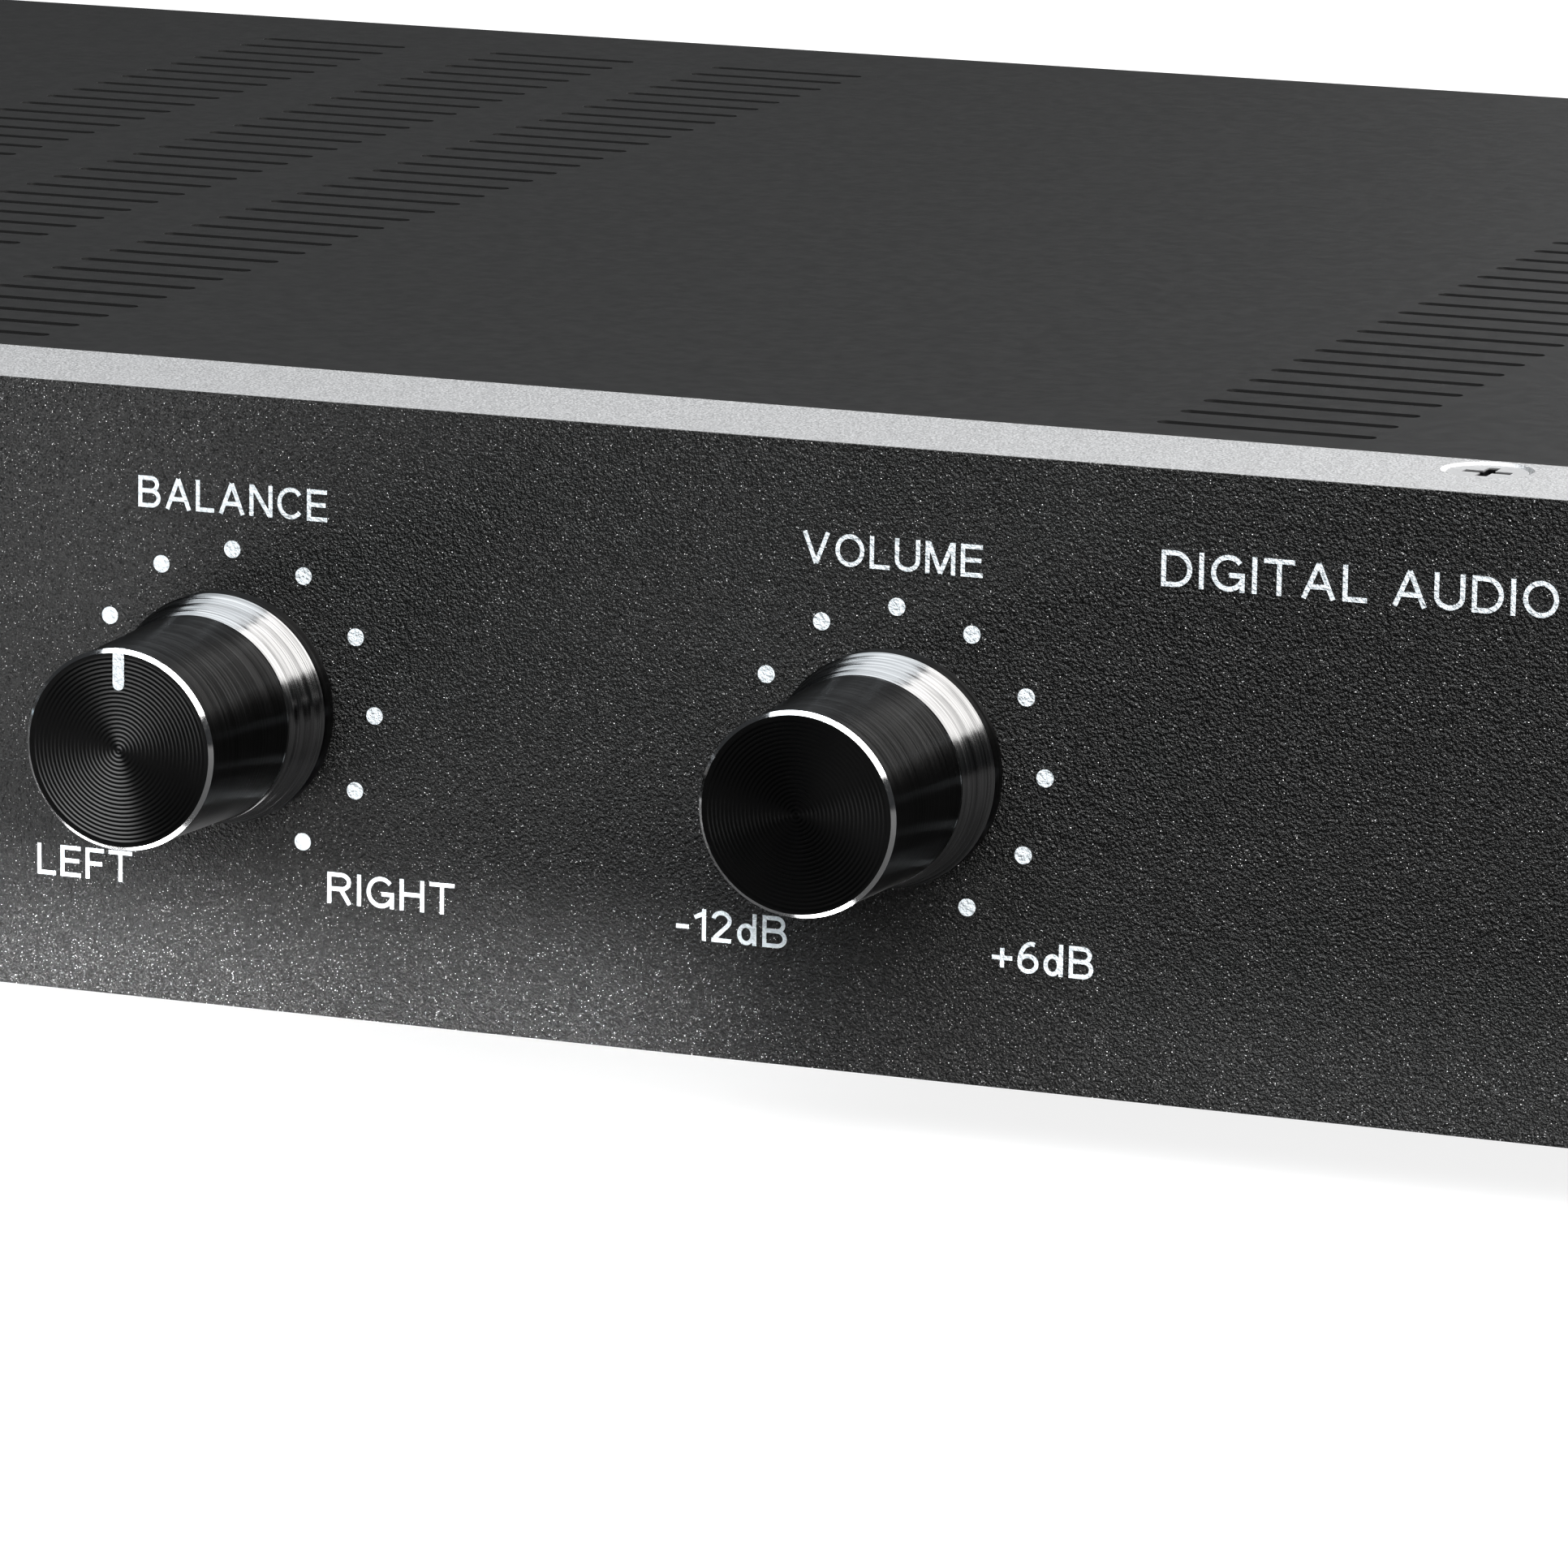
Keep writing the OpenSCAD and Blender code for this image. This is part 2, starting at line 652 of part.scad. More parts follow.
// The inlet's mouth, with its two lower corners cut off
module inlet_outline(w, h, cut) {
    polygon([
        [-w / 2 + cut, -h / 2], [w / 2 - cut, -h / 2], [w / 2, -h / 2 + cut],
        [w / 2, h / 2], [-w / 2, h / 2], [-w / 2, -h / 2 + cut]
    ]);
}

inlet_back = 16;
module mains_inlet() color(plastic) translate([inlet_x, rear_y, axis_z]) difference() {
    union() {
        rotate([90, 0, 180]) linear_extrude(3) intersection() {
            square([50, 23], center = true);
            circle(r = 25);
        }
        rotate([90, 0, 0]) linear_extrude(inlet_back) inlet_outline(28, 21, 4);
    }
    translate([0, 3.1, 0]) rotate([90, 0, 0]) linear_extrude(inlet_back + 1.1) inlet_outline(24.2, 16.7, 3.5);
    for (s = [-1, 1]) translate([inlet_hole_x * s, 0, 0]) {
        rod_y(m3_clear_r, -1, 4);
        translate([0, 3.01, 0]) rotate([-90, 0, 0]) countersink();
    }
    at_blades() block([-1, -inlet_back - 1, -2], [1, -inlet_back + 3, 2]);
}

module at_blades() {
    for (x = [-7, 7]) translate([x, 0, -2]) children();
    translate([0, 0, 2]) children();
}

module inlet_blades() color([0.8, 0.75, 0.6]) translate([inlet_x, rear_y, axis_z]) at_blades()
    block([-1, -inlet_back - 7, -2], [1, 1, 2]);

module inlet_screws() color(bright) for (s = [-1, 1])
    translate([inlet_x + inlet_hole_x * s, rear_y + 2.9, axis_z]) rotate([-90, 0, 0]) flat_head_screw(9);

rocker_axis_y = rear_y - 1;
rocker_half = 8.2;
rocker_w = 11.2;
rocker_pin_l = 13.2;
rocker_housing = [7, 14, 10.5];
rocker_well = [5.9, 10, 9.5];
rocker_flange = [7.75, 1.5, 11.75];

// Switch frame with its closed housing behind the panel and bores for the rocker's pins
module rocker_frame() color(plastic) translate([rocker_x, 0, axis_z]) difference() {
    union() {
        slab(rocker_flange, rear_y, rear_y + rocker_flange.y);
        slab(rocker_housing, rear_y - rocker_housing.y, rear_y);
    }
    slab(rocker_well, rear_y - rocker_well.y, rear_y + 2);
    translate([0, rocker_axis_y, 0]) rotate([0, 90, 0])
        cylinder(r = 1.05, h = rocker_pin_l + 0.2, center = true);
}

// Rocker at rest in the off position, with its lower half pressed in
module mains_rocker() color([0.09, 0.09, 0.095]) translate([rocker_x, rocker_axis_y, axis_z])
    rotate([-rocker_swing / 2, 0, 0]) {
        crest = 2.6;
        rise = rocker_half * tan(rocker_swing / 2);
        translate([-rocker_w / 2, 0, 0]) rotate([90, 0, 90]) linear_extrude(rocker_w) polygon([
            [-2, -rocker_half], [crest + rise, -rocker_half], [crest, 0],
            [crest + rise, rocker_half], [-2, rocker_half]
        ]);
        rotate([0, 90, 0]) cylinder(r = 1, h = rocker_pin_l, center = true);
    }

module at_phono(x) translate([x, rear_y, socket_z]) children();

// Plated barrels, each a tube that also passes through the panel to its lock nut
module phono_barrels() color("gold") for (x = [left_x, right_x, coax_x]) at_phono(x) difference() {
    union() {
        rod_y(barrel_r, collar_t, jack_reach);
        rod_y(barrel_neck_r, -6, collar_t);
        translate([0, -rear_t - 0.1, 0]) rotate([90, 0, 0]) cylinder(d = 11, h = 2.2, $fn = 6);
    }
    rod_y(barrel_bore_r, -7, jack_reach + 1);
}

// Collar round the barrel and the insulator inside it, joined by a sleeve through the panel
module phono_insert(x) at_phono(x) {
    difference() {
        rod_y(collar_r, 0, collar_t);
        rod_y(barrel_neck_r, -1, 2);
    }
    difference() {
        rod_y(barrel_neck_r + 0.6, -rear_t, 0);
        rod_y(barrel_neck_r, -rear_t - 1, 1);
    }
    difference() {
        rod_y(barrel_bore_r, -6, jack_reach - 0.8);
        rod_y(phono_pin_r, -2, jack_reach);
    }
}
module left_insert() color([0.9, 0.9, 0.88]) phono_insert(left_x);
module right_insert() color([0.7, 0.06, 0.05]) phono_insert(right_x);
module coax_insert() color([0.85, 0.35, 0.04]) phono_insert(coax_x);

// Optical socket: a square cavity that the flap closes from inside
optical_half = 4.7;
optical_depth = 10.5;
optical_body = [6.6, 14, 6.3];
flap_axis = [0, 0.8, optical_half - 0.8];
module optical_socket() color(plastic) translate([optical_x, rear_y, socket_z]) difference() {
    slab(optical_body, -optical_body.y, 1.5);
    slab([optical_half, 0, optical_half], -optical_depth, 2);
    translate(flap_axis) rotate([0, 90, 0]) cylinder(r = 0.45, h = 11.2, center = true, $fn = 32);
}

module optical_flap() color([0.12, 0.12, 0.125]) translate([optical_x, rear_y, socket_z] + flap_axis) {
    block([-4.4, -0.4, -8.2], [4.4, 0.4, 0]);
    rotate([0, 90, 0]) cylinder(r = 0.4, h = 11, center = true, $fn = 32);
}

// Square data socket with two upper corners cut off, and its contact tongue
module usb_outline(grow) {
    w = 8.5 + 2 * grow;
    h = 7.8 + 2 * grow;
    cut = 1.6 + grow / 2;
    polygon([
        [-w / 2, -h / 2], [w / 2, -h / 2], [w / 2, h / 2 - cut],
        [w / 2 - cut, h / 2], [-w / 2 + cut, h / 2], [-w / 2, h / 2 - cut]
    ]);
}
usb_depth = 12;
module usb_socket() color(bright) translate([usb_x, rear_y, socket_z]) difference() {
    union() {
        translate([0, 1.2, 0]) rotate([90, 0, 0]) linear_extrude(usb_depth + 3.2) usb_outline(1.2);
        block([-6, -usb_depth - 2, -6.3], [6, -2, 5.4]);
    }
    translate([0, 2, 0]) rotate([90, 0, 0]) linear_extrude(usb_depth + 2) usb_outline(0);
}

module usb_tongue() color([0.93, 0.93, 0.9]) translate([usb_x, rear_y, socket_z])
    block([-2.8, -usb_depth, -1.6], [2.8, -3, 1.6]);

front_panel();
front_fascia();
top_cover();
base_tray();
rear_panel();
panel_brackets();
rubber_feet();
foot_screws();
cover_screws();
panel_screws();
rear_screws();
bracket_screws();
balance_knob();
balance_shaft();
balance_set_screw();
balance_pot();
volume_knob();
volume_shaft();
volume_set_screw();
volume_pot();
pot_washers();
pot_nuts();
power_button();
power_switch();
input_button();
input_switch();
indicator_lenses();
headphone_socket();
headphone_nut();
front_board();
main_board();
power_board();
board_standoffs();
board_screws();
ribbon_cable();
ribbon_headers();
transformer_core();
transformer_winding();
reservoir_capacitors();
heat_sink();
regulators();
chip_packages();
clock_can();
film_capacitors();
mute_relay();
fuse_holder();
mains_inlet();
inlet_blades();
inlet_screws();
rocker_frame();
mains_rocker();
phono_barrels();
left_insert();
right_insert();
coax_insert();
optical_socket();
optical_flap();
usb_socket();
usb_tongue();
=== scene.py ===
"""Looks of the desktop converter: camera, studio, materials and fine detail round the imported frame.

Metres, in the frame's own axes: X to the right, Y from the front panel to the rear, Z up.
"""
import json
import math

import bmesh
import bpy
from mathutils import Euler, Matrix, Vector


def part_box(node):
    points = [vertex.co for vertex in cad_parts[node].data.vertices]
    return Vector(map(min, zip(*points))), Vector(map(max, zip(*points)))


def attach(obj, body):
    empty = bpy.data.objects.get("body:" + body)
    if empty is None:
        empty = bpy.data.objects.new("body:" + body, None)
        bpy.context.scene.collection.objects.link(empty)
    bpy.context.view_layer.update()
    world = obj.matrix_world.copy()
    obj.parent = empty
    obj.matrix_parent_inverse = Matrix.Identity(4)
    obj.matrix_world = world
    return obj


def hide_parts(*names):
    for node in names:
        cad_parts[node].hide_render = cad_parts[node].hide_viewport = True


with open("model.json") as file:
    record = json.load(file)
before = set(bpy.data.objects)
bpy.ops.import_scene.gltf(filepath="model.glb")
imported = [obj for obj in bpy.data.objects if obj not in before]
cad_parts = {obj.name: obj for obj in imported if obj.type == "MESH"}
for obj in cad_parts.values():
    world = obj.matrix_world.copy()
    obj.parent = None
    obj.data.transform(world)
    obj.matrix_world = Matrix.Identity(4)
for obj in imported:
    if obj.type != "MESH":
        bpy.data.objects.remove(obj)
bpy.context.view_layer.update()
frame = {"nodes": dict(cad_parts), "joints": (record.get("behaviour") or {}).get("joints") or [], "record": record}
nodes = frame["nodes"]
joints = {joint["name"]: joint for joint in frame["joints"]}
MM = 0.001

# The face of the front panel, and the middle of each knob on that face.
FRONT_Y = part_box("front_fascia")[0].y
BALANCE = Vector(joints["balance_turn"]["pos_m"])
VOLUME = Vector(joints["volume_turn"]["pos_m"])
BALANCE.y = VOLUME.y = FRONT_Y


# ---------------------------------------------------------------- camera

CAMERA_AZIMUTH = math.radians(21.37)
CAMERA_ELEVATION = math.radians(11.82)
CAMERA_ROLL = math.radians(0.81)
CAMERA_LENS_MM = 207.2
CAMERA_SENSOR_MM = 36
CAMERA_DISTANCE = 0.6223
CAMERA_NEAR, CAMERA_FAR = 0.01, 50
AIM_FROM_VOLUME = Vector((-8.1, 0, -2.1)) * MM


def make_camera():
    """Long lens, close on the two knobs, from the right and a little above."""
    aim = VOLUME + AIM_FROM_VOLUME
    back = Vector((
        math.sin(CAMERA_AZIMUTH) * math.cos(CAMERA_ELEVATION),
        -math.cos(CAMERA_AZIMUTH) * math.cos(CAMERA_ELEVATION),
        math.sin(CAMERA_ELEVATION),
    ))
    data = bpy.data.cameras.new("camera")
    data.lens = CAMERA_LENS_MM
    data.sensor_width = CAMERA_SENSOR_MM
    data.clip_start = CAMERA_NEAR
    data.clip_end = CAMERA_FAR
    camera = bpy.data.objects.new("camera", data)
    bpy.context.scene.collection.objects.link(camera)
    camera.location = aim + back * CAMERA_DISTANCE
    turn = (-back).to_track_quat("-Z", "Y") @ Euler((0, 0, CAMERA_ROLL)).to_quaternion()
    camera.rotation_mode = "QUATERNION"
    camera.rotation_quaternion = turn
    bpy.context.scene.camera = camera


# ---------------------------------------------------------------- shader helpers

NOISE_LOW, NOISE_HIGH = 0.3, 0.7


class Shader:
    """A Principled material and the few nodes that every finish here is made from."""

    def __init__(self, name):
        self.material = bpy.data.materials.new(name)
        self.material.use_nodes = True
        self.tree = self.material.node_tree
        self.bsdf = self.tree.nodes["Principled BSDF"]
        self.place = self.node("TexCoord").outputs["Object"]

    def set(self, **values):
        """Sets sockets to plain values: set(Roughness=0.5), with _ for a space in a socket's name."""
        for key, value in values.items():
            self.bsdf.inputs[key.replace("_", " ")].default_value = value
        return self

    def node(self, kind):
        return self.tree.nodes.new("ShaderNode" + kind)

    def link(self, a, b):
        self.tree.links.new(a, b)

    def feed(self, socket, value):
        """Links another node's output into a socket, or sets it to a plain value."""
        if isinstance(value, bpy.types.NodeSocket):
            self.link(value, socket)
        else:
            socket.default_value = value

    def noise(self, size_mm, detail, stretch=(1, 1, 1)):
        """Noise with grains about size_mm across; stretch above 1 draws them out along that axis."""
        mapping = self.node("Mapping")
        mapping.inputs["Scale"].default_value = [1 / s for s in stretch]
        self.link(self.place, mapping.inputs["Vector"])
        node = self.node("TexNoise")
        node.inputs["Scale"].default_value = 1 / (size_mm * MM)
        node.inputs["Detail"].default_value = detail
        self.link(mapping.outputs["Vector"], node.inputs["Vector"])
        return node.outputs["Fac"]

    def cells(self, size_mm):
        """Cells size_mm across: distance to a cell's middle, and a random number and colour for each."""
        node = self.node("TexVoronoi")
        node.inputs["Scale"].default_value = 1 / (size_mm * MM)
        self.link(self.place, node.inputs["Vector"])
        split = self.node("SeparateColor")
        self.link(node.outputs["Color"], split.inputs["Color"])
        return node.outputs["Distance"], split.outputs["Red"], node.outputs["Color"]

    def operate(self, kind, operation, *values):
        """A node of this kind that works on sockets or plain values, in order."""
        node = self.node(kind)
        node.operation = operation
        for socket, value in zip(node.inputs, values):
            self.feed(socket, value)
        return node.outputs[0]

    def math(self, operation, a, b):
        return self.operate("Math", operation, a, b)

    def vector(self, operation, *vectors):
        return self.operate("VectorMath", operation, *vectors)

    def tilt(self, turn, share, amount):
        """Leans the surface's normal by a random colour, where share is above zero."""
        centred = self.vector("SUBTRACT", turn, (0.5, 0.5, 0.5))
        lean = self.vector("MULTIPLY", centred, self.math("MULTIPLY", share, amount))
        total = self.vector("ADD", self.node("NewGeometry").outputs["Normal"], lean)
        self.link(self.vector("NORMALIZE", total), self.bsdf.inputs["Normal"])

    def ramp(self, value, low, high, a=0, b=1):
        """Maps value from [low, high] to [a, b], clamped."""
        node = self.node("MapRange")
        self.link(value, node.inputs["Value"])
        for key, number in zip(("From Min", "From Max", "To Min", "To Max"), (low, high, a, b)):
            node.inputs[key].default_value = number
        return node.outputs["Result"]

    def swing(self, noise, a=0, b=1):
        """Maps the range that a noise mostly keeps to, to [a, b], clamped."""
        return self.ramp(noise, NOISE_LOW, NOISE_HIGH, a, b)

    def mix(self, share, a, b):
        """Mixes two colours, each an (r, g, b) or a socket."""
        node = self.node("Mix")
        node.data_type = "RGBA"
        self.link(share, node.inputs["Factor"])
        for key, value in (("A", a), ("B", b)):
            self.feed(node.inputs[key], (*value, 1) if isinstance(value, tuple) else value)
        return node.outputs["Result"]

    def bump(self, height, depth_mm):
        """Adds relief depth_mm deep to whatever already turns the surface's normal."""
        node = self.node("Bump")
        node.inputs["Distance"].default_value = depth_mm * MM
        node.inputs["Strength"].default_value = 1.0
        self.link(height, node.inputs["Height"])
        previous = self.bsdf.inputs["Normal"].links
        if previous:
            self.link(previous[0].from_socket, node.inputs["Normal"])
        self.link(node.outputs["Normal"], self.bsdf.inputs["Normal"])

    def color(self, socket):
        self.link(socket, self.bsdf.inputs["Base Color"])

    def roughness(self, socket):
        self.link(socket, self.bsdf.inputs["Roughness"])

    def surface(self, dark, light, cloud_mm, rough, patch_mm, rough_swing, grain_mm, depth_mm,
                stretch=(1, 1, 1)):
        """Cloudy colour, patchy roughness and fine grain, each at its own size."""
        self.color(self.mix(self.noise(cloud_mm, 3), dark, light))
        patches = self.noise(patch_mm, 3, stretch)
        self.roughness(self.swing(patches, rough - rough_swing, rough + rough_swing))
        self.bump(self.noise(grain_mm, 2, stretch), depth_mm)
        return self


def gray(value):
    """A grey with a trace of blue."""
    return (value, value, value * 1.01)


# ---------------------------------------------------------------- materials

def textured_black(name):
    """Fine wrinkled black powder coat with small bright metal flakes that lie at all angles."""
    flake_mm, flake_tilt = 0.09, 1.5
    wrinkle_mm, wrinkle_depth = 0.21, 0.26
    fine_mm, fine_depth = 0.09, 0.03
    s = Shader(name)
    distance, random, turn = s.cells(flake_mm)
    rare = s.ramp(random, 0.93, 0.99)
    spot = s.ramp(distance, 0.3, 0.45, 1, 0)
    flake = s.math("MULTIPLY", rare, spot)
    s.tilt(turn, flake, flake_tilt)
    wrinkle = s.noise(wrinkle_mm, 2)
    s.bump(s.swing(wrinkle), wrinkle_depth)
    s.bump(s.noise(fine_mm, 1), fine_depth)
    coat = s.mix(wrinkle, gray(0.002), gray(0.010))
    s.color(s.mix(flake, coat, gray(0.75)))
    s.link(flake, s.bsdf.inputs["Metallic"])
    s.roughness(s.swing(wrinkle, 0.30, 0.40))
    s.set(Specular_IOR_Level=0.40)
    return s.material


def white_ink(name):
    """Screen-printed ink over the same wrinkled coat."""
    thin, thick = (0.48, 0.53, 0.56), (0.76, 0.81, 0.85)
    wrinkle_mm, wrinkle_depth = 0.26, 0.12
    s = Shader(name)
    wrinkle = s.noise(wrinkle_mm, 2)
    s.bump(s.swing(wrinkle), wrinkle_depth)
    s.color(s.mix(wrinkle, thin, thick))
    s.set(Roughness=0.6, Specular_IOR_Level=0.2)
    return s.material


def blasted_aluminium(name):
    """Bare metal blasted to a fine even grain."""
    grain_mm, grain_depth = 0.16, 0.035
    s = Shader(name).set(Metallic=1.0)
    grain = s.noise(grain_mm, 2)
    s.color(s.mix(s.swing(grain), gray(0.46), gray(0.80)))
    s.roughness(s.swing(grain, 0.50, 0.62))
    s.bump(grain, grain_depth)
    return s.material


def satin_coat(name, shade, rough=0.42):
    """Smooth satin paint on sheet steel."""
    s = Shader(name).surface(
        gray(shade * 0.93), gray(shade * 1.07), cloud_mm=6,
        rough=rough, patch_mm=1.2, rough_swing=0.03, grain_mm=0.35, depth_mm=0.0025,
    )
    return s.material


def plastic(name, shade, rough, grain_mm=0.25, depth_mm=0.004):
    """Moulded plastic or rubber with a faint grain."""
    dark = tuple(c * 0.9 for c in shade)
    light = tuple(min(1.0, c * 1.12) for c in shade)
    s = Shader(name).surface(
        dark, light, cloud_mm=3,
        rough=rough, patch_mm=0.8, rough_swing=0.05, grain_mm=grain_mm, depth_mm=depth_mm,
    )
    return s.material


def metal(name, shade, rough, grain_mm=0.3, depth_mm=0.003, stretch=(1, 1, 1)):
    """Plain or plated metal; a stretch draws its grain out along an axis."""
    dark = tuple(c * 0.88 for c in shade)
    s = Shader(name).set(Metallic=1.0).surface(
        dark, shade, cloud_mm=2,
        rough=rough, patch_mm=0.5, rough_swing=0.06, grain_mm=grain_mm, depth_mm=depth_mm, stretch=stretch,
    )
    return s.material


def anodised_black(name):
    """Black anodised turned aluminium, for the CAD knobs under the finer ones."""
    cloud_mm, mark_mm, mark_stretch = 1.5, 0.4, (1, 30, 1)
    s = Shader(name).set(Metallic=1.0)
    s.color(s.mix(s.noise(cloud_mm, 3), gray(0.05), gray(0.065)))
    s.roughness(s.swing(s.noise(mark_mm, 3, mark_stretch), 0.2, 0.3))
    return s.material


FINISHES = {
    "bright_aluminium": blasted_aluminium,
    "black_texture": textured_black,
    "cover_grey": lambda name: satin_coat(name, 0.009),
    "tray_grey": lambda name: satin_coat(name, 0.035, rough=0.5),
    "knob_black": anodised_black,
    "plain_steel": lambda name: metal(name, (0.55, 0.55, 0.53), rough=0.35),
    "bright_screw": lambda name: metal(name, (0.78, 0.78, 0.78), rough=0.5, grain_mm=0.15, depth_mm=0.002),
    "black_screw": lambda name: metal(name, (0.05, 0.05, 0.05), rough=0.35),
    "foot_rubber": lambda name: plastic(name, gray(0.018), rough=0.75, grain_mm=0.3, depth_mm=0.01),
    "board_green": lambda name: plastic(name, (0.012, 0.09, 0.035), rough=0.35),
    "black_plastic": lambda name: plastic(name, gray(0.02), rough=0.5, grain_mm=0.3, depth_mm=0.008),
    "key_black": lambda name: plastic(name, gray(0.018), rough=0.3),
    "lens_clear": lambda name: plastic(name, (0.55, 0.68, 0.75), rough=0.15),
    "grey_cable": lambda name: plastic(name, gray(0.35), rough=0.5),
    "core_iron": lambda name: metal(
        name, gray(0.16), rough=0.5, grain_mm=0.4, depth_mm=0.01, stretch=(30, 1, 30)),
    "winding_tape": lambda name: plastic(name, (0.55, 0.36, 0.05), rough=0.35),
    "sleeve_blue": lambda name: plastic(name, (0.012, 0.02, 0.09), rough=0.25),
    "sink_black": lambda name: metal(name, gray(0.04), rough=0.4),
    "film_red": lambda name: plastic(name, (0.35, 0.03, 0.02), rough=0.25),
    "clear_grey": lambda name: plastic(name, gray(0.6), rough=0.2),
    "crystal_can": lambda name: metal(name, gray(0.7), rough=0.2),
    "gold_plate": lambda name: metal(name, (0.86, 0.58, 0.20), rough=0.18),
    "white_plastic": lambda name: plastic(name, (0.78, 0.78, 0.74), rough=0.3),
    "red_plastic": lambda name: plastic(name, (0.42, 0.01, 0.01), rough=0.3),
    "orange_plastic": lambda name: plastic(name, (0.7, 0.14, 0.01), rough=0.3),
    "socket_steel": lambda name: metal(name, gray(0.62), rough=0.35, grain_mm=0.2, depth_mm=0.0008),
    "blade_brass": lambda name: metal(name, (0.78, 0.70, 0.50), rough=0.25),
    "tongue_white": lambda name: plastic(name, gray(0.75), rough=0.4),
}


def sunk_screw_painted_shade(name, top, depth_mm=0.15):
    """Bright screw head with painted shade below its flat top: near black in the cross recess and round its edge,
    where shade falls.
    """
    s = Shader(name).set(Metallic=1.0, Roughness=0.5)
    split = s.node("SeparateXYZ")
    s.link(s.place, split.inputs["Vector"])
    painted_shade_below = top - depth_mm * MM
    painted_shade_fades_by = top - 0.4 * depth_mm * MM
    flat = s.ramp(split.outputs["Z"], painted_shade_below, painted_shade_fades_by)
    steel = s.mix(s.noise(0.3, 2), gray(0.72), gray(0.88))
    # Painted shade: near-black colour below the head's flat top, in the cross recess and round its edge; bright
    # steel only on the flat top.
    s.color(s.mix(flat, gray(0.03), steel))
    return s.material


def finish_frame():
    """Gives every CAD node the finish of its material slot, and the front's screws their own, with painted shade
    in their recesses.
    """
    made = {slot: build(slot) for slot, build in FINISHES.items()}
    for part in frame["record"]["subparts"]:
        mesh = nodes[part["node"]].data
        mesh.materials.clear()
        mesh.materials.append(made[part["material_slot"]])
    screw_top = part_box("panel_screws")[1].z
    nodes["panel_screws"].data.materials[0] = sunk_screw_painted_shade("panel_screw_steel_painted_shade", screw_top)


# ---------------------------------------------------------------- knobs

# Millimetres, with GROOVE_LEAN and LEAN_SWING in degrees. WAIST_DEPTH and BORE_DEPTH are measured forwards
# from the front panel, and the depths of the hollow, the foot and the flare's start from the knob's rear.
# POINTER_T is how far the pointer stands in front of the turned face.
KNOB_SIDES = 192
KNOB_SHARP = math.radians(24)
KNOB_FACE_R = 6.8
FACE_RIM = 0.2
EDGE_CUT = 0.28
BODY_TAPER = 0.35
BODY_STEPS = 6
WAIST_R = KNOB_FACE_R + 0.55
WAIST_DEPTH = 6.6
BORE_R, BORE_DEPTH = 3.05, 13.5
HOLLOW_R, HOLLOW_DEPTH = 6.4, 4.2
FOOT_ROUND = 0.2
FOOT_BAND = 1.45
FLARE_FROM = 1.6
FLARE_CURVE = 1.15
FLARE_GROOVES = 22
GROOVE_SHARE = 0.45
GROOVE_LEAN, LEAN_SWING, LEAN_BEAT = 41, 4, 7.3
RING_PITCH = 0.3
RING_DEPTH = 0.05
POINTER_T = 0.03


def cut_metal(name):
    """Bright bare metal left by the last cut of the lathe."""
    s = Shader(name).set(Metallic=1.0)
    s.color(s.mix(s.noise(0.5, 3), gray(0.74), gray(0.86)))
    s.roughness(s.swing(s.noise(0.2, 3), 0.08, 0.14))
    return s.material


def turned_black(name, shade, rough, anisotropy, groove_mm):
    """Black anodised metal with fine lathe marks round the knob's axis."""
    rough_swing, mark_depth, mark_stretch = 0.04, 0.02, (60, 1, 60)
    s = Shader(name).set(Metallic=1.0, Anisotropic=anisotropy, Anisotropic_Rotation=0.25)
    tangent = s.node("Tangent")
    tangent.direction_type = "RADIAL"
    tangent.axis = "Y"
    s.link(tangent.outputs["Tangent"], s.bsdf.inputs["Tangent"])
    marks = s.noise(groove_mm, 3, mark_stretch)
    s.color(s.mix(s.swing(marks), gray(shade * 0.5), gray(shade * 1.4)))
    s.roughness(s.swing(marks, rough - rough_swing, rough + rough_swing))
    s.bump(marks, mark_depth)
    return s.material


def turned_rings(reach, outer):
    """Half section of the grooves in a knob's face, from outer radius to the middle."""
    points = []
    for k in range(int(outer / RING_PITCH), 0, -1):
        points.append((reach, k * RING_PITCH))
        points.append((reach - RING_DEPTH, (k - 0.5) * RING_PITCH))
    return points


def knob_section(reach, gap, foot_r):
    """Half section of a knob, as (distance in front of the panel, radius) and the material after it."""
    body, edge, flare, face = range(4)
    hollow, flare_from, flare_r = gap + HOLLOW_DEPTH, gap + FLARE_FROM, foot_r - 0.03
    section = [(point, body) for point in (
        (BORE_DEPTH, 0), (BORE_DEPTH, BORE_R), (hollow, BORE_R), (hollow, HOLLOW_R), (gap, HOLLOW_R),
        (gap, foot_r - FOOT_ROUND), (gap + 0.3 * FOOT_ROUND, foot_r - 0.3 * FOOT_ROUND),
        (gap + FOOT_ROUND, foot_r), (gap + FOOT_BAND, foot_r),
    )]
    section.append(((flare_from, flare_r), flare))
    pitch = (WAIST_DEPTH - flare_from) / FLARE_GROOVES
    back = GROOVE_SHARE * pitch
    for k in range(1, FLARE_GROOVES):
        d = flare_from + pitch * k
        r = WAIST_R + (flare_r - WAIST_R) * (1 - k / FLARE_GROOVES) ** FLARE_CURVE
        lean = math.radians(GROOVE_LEAN + LEAN_SWING * math.sin(LEAN_BEAT * k))
        section.append(((d - back, r + back * math.tan(lean)), flare))
        section.append(((d, r), flare))
    body_length = reach - EDGE_CUT - WAIST_DEPTH
    for k in range(BODY_STEPS):
        share = k / BODY_STEPS
        section.append(((WAIST_DEPTH + body_length * share, WAIST_R - BODY_TAPER * share), body))
    section.append(((reach - EDGE_CUT, KNOB_FACE_R + EDGE_CUT), edge))
    section.append(((reach, KNOB_FACE_R), face))
    section += [(point, face) for point in turned_rings(reach, KNOB_FACE_R - FACE_RIM)]
    section.append(((reach, 0), face))
    return section


